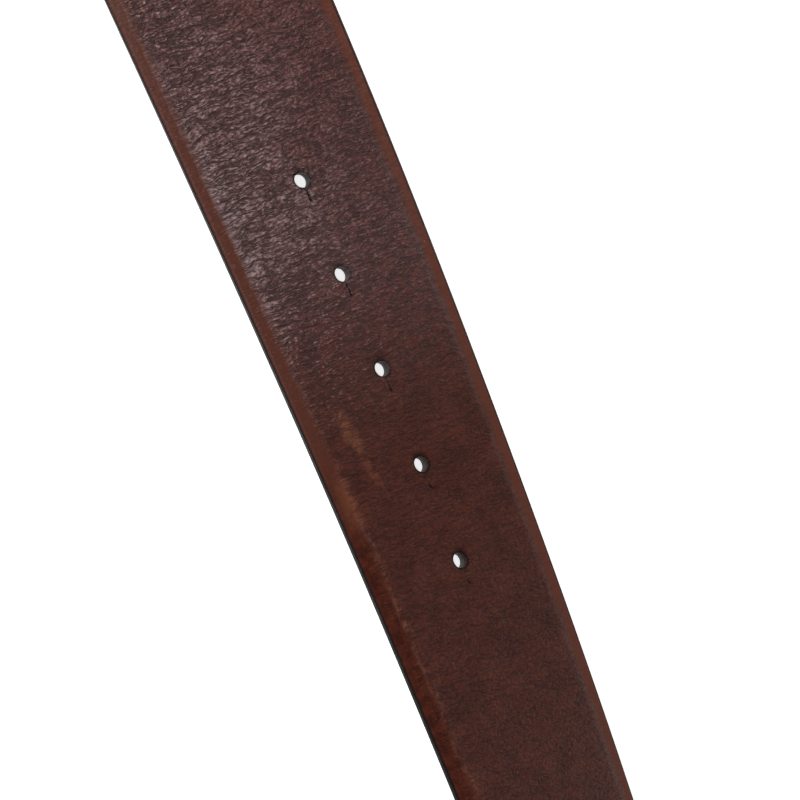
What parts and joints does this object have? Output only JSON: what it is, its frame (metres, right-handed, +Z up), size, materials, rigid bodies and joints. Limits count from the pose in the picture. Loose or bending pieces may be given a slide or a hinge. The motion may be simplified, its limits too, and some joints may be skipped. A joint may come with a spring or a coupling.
{
  "type": "leather belt",
  "caption": "Reversible leather dress belt with keyhole stud holes, a screwed fold, fixed and sliding keepers and an open frame buckle with a ball stud.",
  "frame": {"origin": "middle of the object's box, at the surface that the belt stands on", "axes": "+X along the two legs of the U towards its closed end, +Y from the buckle leg to the tail, +Z up across the standing strap"},
  "size_m": [0.5016, 0.1542, 0.0512],
  "materials": {
    "face_leather": "glazed reddish-brown grain leather, semi-gloss",
    "back_leather": "black grained leather, satin",
    "core": "bonded leather board, matt",
    "keeper_leather": "reddish-brown leather with painted edges",
    "buckle_metal": "brushed sides and polished edges",
    "screw_metal": "turned and polished",
    "staple_wire": "plain wire"
  },
  "bodies": {
    "strap": {"face_leather_body": "face_leather", "back_leather_body": "back_leather", "core_body": "core", "screw_post_1": "screw_metal", "screw_1": "screw_metal", "screw_post_2": "screw_metal", "screw_2": "screw_metal", "fixed_keeper": "keeper_leather", "fixed_keeper_staple": "staple_wire"},
    "tail": {"face_leather_tail": "face_leather", "back_leather_tail": "back_leather", "core_tail": "core"},
    "buckle": {"buckle_frame": "buckle_metal", "heel_bar": "buckle_metal", "ball_stud": "buckle_metal"},
    "loose_keeper": {"sliding_keeper": "keeper_leather", "sliding_keeper_staple": "staple_wire"}
  },
  "joints": [
    {"name": "buckle_swivel", "type": "hinge", "parent": "strap", "child": "buckle", "pos_m": [-0.19742, -0.07116, 0.0256], "axis": [0, 0, 1], "range_deg": [-80, 80]},
    {"name": "keeper_slide", "type": "slide", "parent": "strap", "child": "loose_keeper", "axis": [1, 0, 0], "range_m": [0, 0.1]},
    {"name": "tail_flex", "type": "hinge", "parent": "strap", "child": "tail", "pos_m": [0.00964, 0.06511, 0.01703], "axis": [-0.0405, 0.616, -0.7867], "range_deg": [0, 50]}
  ]
}
